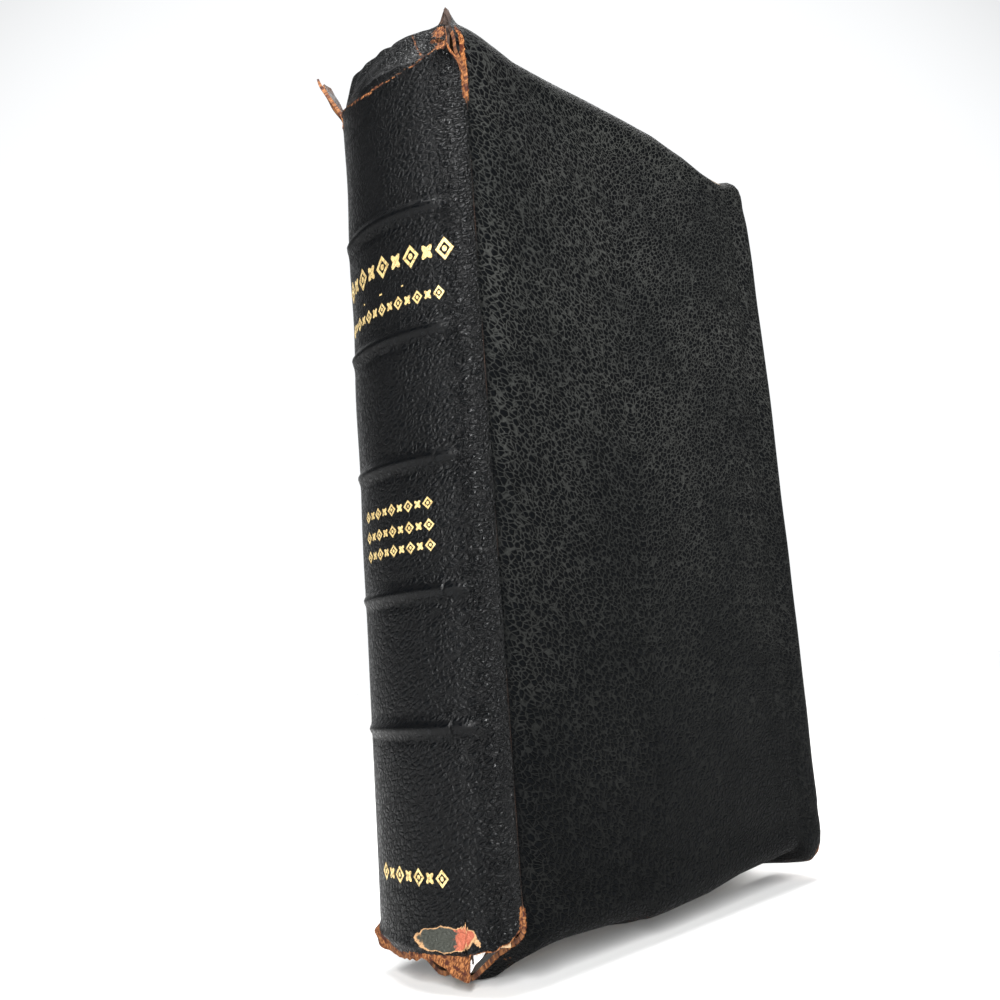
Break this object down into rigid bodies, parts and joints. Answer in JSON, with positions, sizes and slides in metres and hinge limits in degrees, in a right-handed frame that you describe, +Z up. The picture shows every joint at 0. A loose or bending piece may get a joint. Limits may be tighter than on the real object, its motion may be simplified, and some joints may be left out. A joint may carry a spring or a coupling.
{
  "type": "bible with a limp leather binding",
  "caption": "Thick limp leather bible standing on its tail, with soft edges folded over the pages, raised bands and covers that open.",
  "frame": {"origin": "middle of the foot of the whole book's box, on the surface that the book stands on", "axes": "+Z up the spine from tail to head, +Y from the spine to the fore-edge, +X through the thickness to the front cover"},
  "size_m": [0.0502, 0.141, 0.2285],
  "materials": {
    "cover_leather": "satin",
    "page_paper": "matte",
    "endpaper": "matte",
    "limp_board": "matte",
    "liner_paper": "matte",
    "mull_cotton": "matte",
    "tape_linen": "matte",
    "linen_thread": "matte",
    "band_silk": "satin"
  },
  "bodies": {
    "spine_and_pages": {"spine_leather": "cover_leather", "spine_liner": "liner_paper", "spine_paper": "liner_paper", "mull_cloth": "mull_cotton", "tape_stitches": "linen_thread", "kettle_stitches": "linen_thread", "head_band": "band_silk", "tail_band": "band_silk", "sewing_tape_1": "tape_linen", "sewing_tape_2": "tape_linen", "sewing_tape_3": "tape_linen", "sewing_tape_4": "tape_linen", "front_section_folds": "page_paper", "back_section_folds": "page_paper", "section_05": "page_paper", "section_06": "page_paper", "section_07": "page_paper", "section_08": "page_paper", "section_09": "page_paper", "section_10": "page_paper", "section_11": "page_paper", "section_12": "page_paper", "section_13": "page_paper", "section_14": "page_paper", "section_15": "page_paper", "section_16": "page_paper", "section_17": "page_paper", "section_18": "page_paper", "section_19": "page_paper", "section_20": "page_paper", "section_21": "page_paper", "section_22": "page_paper", "section_23": "page_paper", "section_24": "page_paper", "section_25": "page_paper", "section_26": "page_paper"},
    "front_cover": {"front_cover_leather": "cover_leather", "front_board": "limp_board", "front_pastedown": "endpaper"},
    "back_cover": {"back_cover_leather": "cover_leather", "back_board": "limp_board", "back_pastedown": "endpaper"},
    "front_endleaf": {"front_flyleaf": "endpaper"},
    "back_endleaf": {"back_flyleaf": "endpaper"},
    "front_leaves": {"section_01": "page_paper", "section_02": "page_paper", "section_03": "page_paper", "section_04": "page_paper"},
    "back_leaves": {"section_27": "page_paper", "section_28": "page_paper", "section_29": "page_paper", "section_30": "page_paper"}
  },
  "joints": [
    {"name": "front_cover_opens", "type": "hinge", "parent": "spine_and_pages", "child": "front_cover", "pos_m": [0.02545, -0.0609, 0.11], "axis": [0, 0, -1], "range_deg": [0, 180]},
    {"name": "back_cover_opens", "type": "hinge", "parent": "spine_and_pages", "child": "back_cover", "pos_m": [-0.02175, -0.0609, 0.11], "axis": [0, 0, 1], "range_deg": [0, 180]},
    {"name": "front_endleaf_turns", "type": "hinge", "parent": "spine_and_pages", "child": "front_endleaf", "pos_m": [0.02268, -0.058, 0.11], "axis": [0, 0, -1], "range_deg": [0, 90]},
    {"name": "front_leaves_turn", "type": "hinge", "parent": "spine_and_pages", "child": "front_leaves", "pos_m": [0.02225, -0.057, 0.11], "axis": [0, 0, -1], "range_deg": [0, 45]},
    {"name": "back_endleaf_turns", "type": "hinge", "parent": "spine_and_pages", "child": "back_endleaf", "pos_m": [-0.01897, -0.058, 0.11], "axis": [0, 0, 1], "range_deg": [0, 90]},
    {"name": "back_leaves_turn", "type": "hinge", "parent": "spine_and_pages", "child": "back_leaves", "pos_m": [-0.01855, -0.057, 0.11], "axis": [0, 0, 1], "range_deg": [0, 45]}
  ],
  "couplings": [
    {"joint": "front_endleaf_turns", "follows": "front_cover_opens", "ratio": 0.5},
    {"joint": "front_leaves_turn", "follows": "front_cover_opens", "ratio": 0.25},
    {"joint": "back_endleaf_turns", "follows": "back_cover_opens", "ratio": 0.5},
    {"joint": "back_leaves_turn", "follows": "back_cover_opens", "ratio": 0.25}
  ]
}
